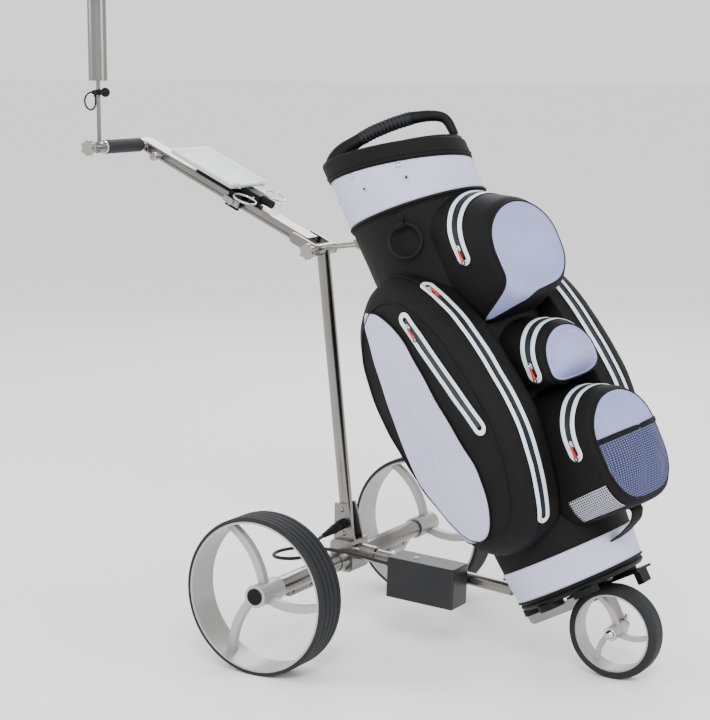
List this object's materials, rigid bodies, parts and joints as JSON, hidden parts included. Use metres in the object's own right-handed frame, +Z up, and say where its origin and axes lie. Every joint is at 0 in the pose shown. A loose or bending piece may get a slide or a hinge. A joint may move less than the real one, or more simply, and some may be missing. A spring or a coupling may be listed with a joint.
{
  "type": "golf bag on push cart",
  "caption": "Leaning round golf bag with zipped pockets on a three-wheel push cart with folding handle, umbrella holder, scorecard tray and battery.",
  "frame": {"origin": "bottom centre of the cart's box, on the ground under its wheels", "axes": "+Z up, +X forward to the front wheel, +Y to the cart's left"},
  "size_m": [1.163, 0.662, 1.206],
  "materials": {
    "stainless": "brushed",
    "handle_alloy": "brushed",
    "chrome": "polished",
    "rim_silver": "satin silver",
    "tyre_black": "grooved",
    "black_plastic": "fine grain",
    "grip_rubber": "textured",
    "cord_rubber": "smooth",
    "grey_plastic": "satin",
    "clear_lid": "clear plastic",
    "black_cloth": "nylon weave",
    "red_pull": "braided"
  },
  "bodies": {
    "cart": {"axle_tube": "stainless", "gear_motors": "handle_alloy", "axle_bushes": "stainless", "mast_foot": "stainless", "mast_tube": "stainless", "keel_tube": "stainless", "bag_rest": "stainless", "front_arm": "stainless", "base_bracket": "black_plastic", "front_axle": "chrome", "battery_hanger": "black_plastic", "lead_socket": "black_plastic"},
    "left_wheel": {"left_rear_rim": "rim_silver", "left_rear_tyre": "tyre_black", "left_drive_shaft": "stainless", "left_hub_cap": "black_plastic"},
    "right_wheel": {"right_rear_rim": "rim_silver", "right_rear_tyre": "tyre_black", "right_drive_shaft": "stainless", "right_hub_cap": "black_plastic"},
    "front_wheel": {"front_rim": "rim_silver", "front_tyre": "tyre_black"},
    "wing_nut": {"front_wing_nut": "chrome"},
    "handle": {"handle_tube": "handle_alloy", "hinge_bolt": "stainless", "hand_grip": "grip_rubber", "grip_bar": "chrome", "scorecard_clamp": "black_plastic", "scorecard_tray": "grey_plastic", "ball_loops": "chrome"},
    "hinge_knob": {"hinge_knob": "chrome"},
    "umbrella_knob": {"umbrella_knob": "chrome"},
    "clamp_knob": {"clamp_knob": "black_plastic"},
    "speed_dial": {"speed_dial": "black_plastic"},
    "umbrella": {"umbrella_holder": "stainless", "bungee_cord": "cord_rubber", "bungee_ball": "black_plastic"},
    "card_lid": {"scorecard_lid": "clear_lid"},
    "battery": {"battery_case": "black_plastic", "battery_lid": "black_plastic", "battery_lead": "cord_rubber", "battery_plug": "black_plastic"},
    "power_button": {"power_button": "chrome"},
    "bag": {"bag_shell": "black_cloth", "top_ring": "black_plastic", "carry_handle": "black_plastic", "bag_base": "black_plastic", "grab_strap": "black_cloth", "towel_loop": "black_cloth", "left_side_pocket": "black_cloth", "right_side_pocket": "black_cloth", "upper_front_pocket": "black_cloth", "middle_front_pocket": "black_cloth", "lower_front_pocket": "black_cloth"},
    "towel_ring": {"towel_ring": "black_plastic"},
    "upper_slider": {"upper_front_slider": "red_pull"},
    "middle_slider": {"middle_front_slider": "red_pull"},
    "lower_slider": {"lower_front_slider": "red_pull"},
    "side_slider": {"right_side_slider": "red_pull"},
    "edge_slider": {"right_edge_slider": "red_pull"}
  },
  "joints": [
    {"name": "left_wheel_spin", "type": "hinge", "parent": "cart", "child": "left_wheel", "pos_m": [-0.08586, 0.297, 0.145], "axis": [0, 1, 0], "continuous": true},
    {"name": "right_wheel_spin", "type": "hinge", "parent": "cart", "child": "right_wheel", "pos_m": [-0.08586, -0.297, 0.145], "axis": [0, 1, 0], "continuous": true},
    {"name": "front_wheel_spin", "type": "hinge", "parent": "cart", "child": "front_wheel", "pos_m": [0.47114, 0, 0.085], "axis": [0, 1, 0], "continuous": true},
    {"name": "wing_nut_turn", "type": "hinge", "parent": "cart", "child": "wing_nut", "pos_m": [0.47114, 0.034, 0.085], "axis": [0, 1, 0], "continuous": true},
    {"name": "handle_fold", "type": "hinge", "parent": "cart", "child": "handle", "pos_m": [-0.14286, 0, 0.737], "axis": [0, 1, 0], "range_deg": [-70, 15]},
    {"name": "hinge_knob_turn", "type": "hinge", "parent": "handle", "child": "hinge_knob", "pos_m": [-0.14286, -0.04, 0.737], "axis": [0, -1, 0], "continuous": true},
    {"name": "umbrella_tilt", "type": "hinge", "parent": "handle", "child": "umbrella", "pos_m": [-0.55384, -0.1525, 0.92516], "axis": [0, 1, 0], "range_deg": [-60, 60]},
    {"name": "umbrella_knob_turn", "type": "hinge", "parent": "handle", "child": "umbrella_knob", "pos_m": [-0.55384, -0.1725, 0.92516], "axis": [0, -1, 0], "continuous": true},
    {"name": "clamp_knob_turn", "type": "hinge", "parent": "handle", "child": "clamp_knob", "pos_m": [-0.33016, -0.025, 0.82275], "axis": [0, -1, 0], "continuous": true},
    {"name": "speed_dial_turn", "type": "hinge", "parent": "handle", "child": "speed_dial", "pos_m": [-0.50879, -0.03, 0.90344], "axis": [0, -1, 0], "range_deg": [0, 280]},
    {"name": "card_lid_open", "type": "hinge", "parent": "handle", "child": "card_lid", "pos_m": [-0.30595, 0, 0.85401], "axis": [0, 1, 0], "range_deg": [0, 100]},
    {"name": "battery_slide", "type": "slide", "parent": "cart", "child": "battery", "axis": [0, -0.9932, -0.1167], "range_m": [0, 0.05]},
    {"name": "power_button_press", "type": "slide", "parent": "battery", "child": "power_button", "axis": [-0.0523, 0, -0.9986], "range_m": [0, 0.0015], "stiffness_N_per_m": 300},
    {"name": "bag_lift", "type": "slide", "parent": "cart", "child": "bag", "axis": [0, 0, 1], "range_m": [0, 0.3]},
    {"name": "towel_ring_swing", "type": "hinge", "parent": "bag", "child": "towel_ring", "pos_m": [0.09778, -0.13196, 0.80297], "axis": [-0.8735, -0.1736, -0.4547], "range_deg": [0, 60]},
    {"name": "upper_zip_slide", "type": "hinge", "parent": "bag", "child": "upper_slider", "pos_m": [0.24171, -0.04573, 0.78094], "axis": [-0.8436, 0.309, -0.4391], "range_deg": [0, 180]},
    {"name": "middle_zip_slide", "type": "hinge", "parent": "bag", "child": "middle_slider", "pos_m": [0.37354, -0.05377, 0.58125], "axis": [-0.8436, 0.309, -0.4391], "range_deg": [0, 180]},
    {"name": "lower_zip_slide", "type": "hinge", "parent": "bag", "child": "lower_slider", "pos_m": [0.46688, -0.06242, 0.45961], "axis": [-0.8436, 0.309, -0.4391], "range_deg": [0, 180]},
    {"name": "side_zip_slide", "type": "slide", "parent": "bag", "child": "side_slider", "axis": [0.6767, -0.0853, -0.7313], "range_m": [0, 0.178]},
    {"name": "edge_zip_slide", "type": "hinge", "parent": "bag", "child": "edge_slider", "pos_m": [-0.08274, -0.01996, 0.26523], "axis": [0.2741, 0.9511, 0.1427], "range_deg": [0, 29.5]}
  ]
}
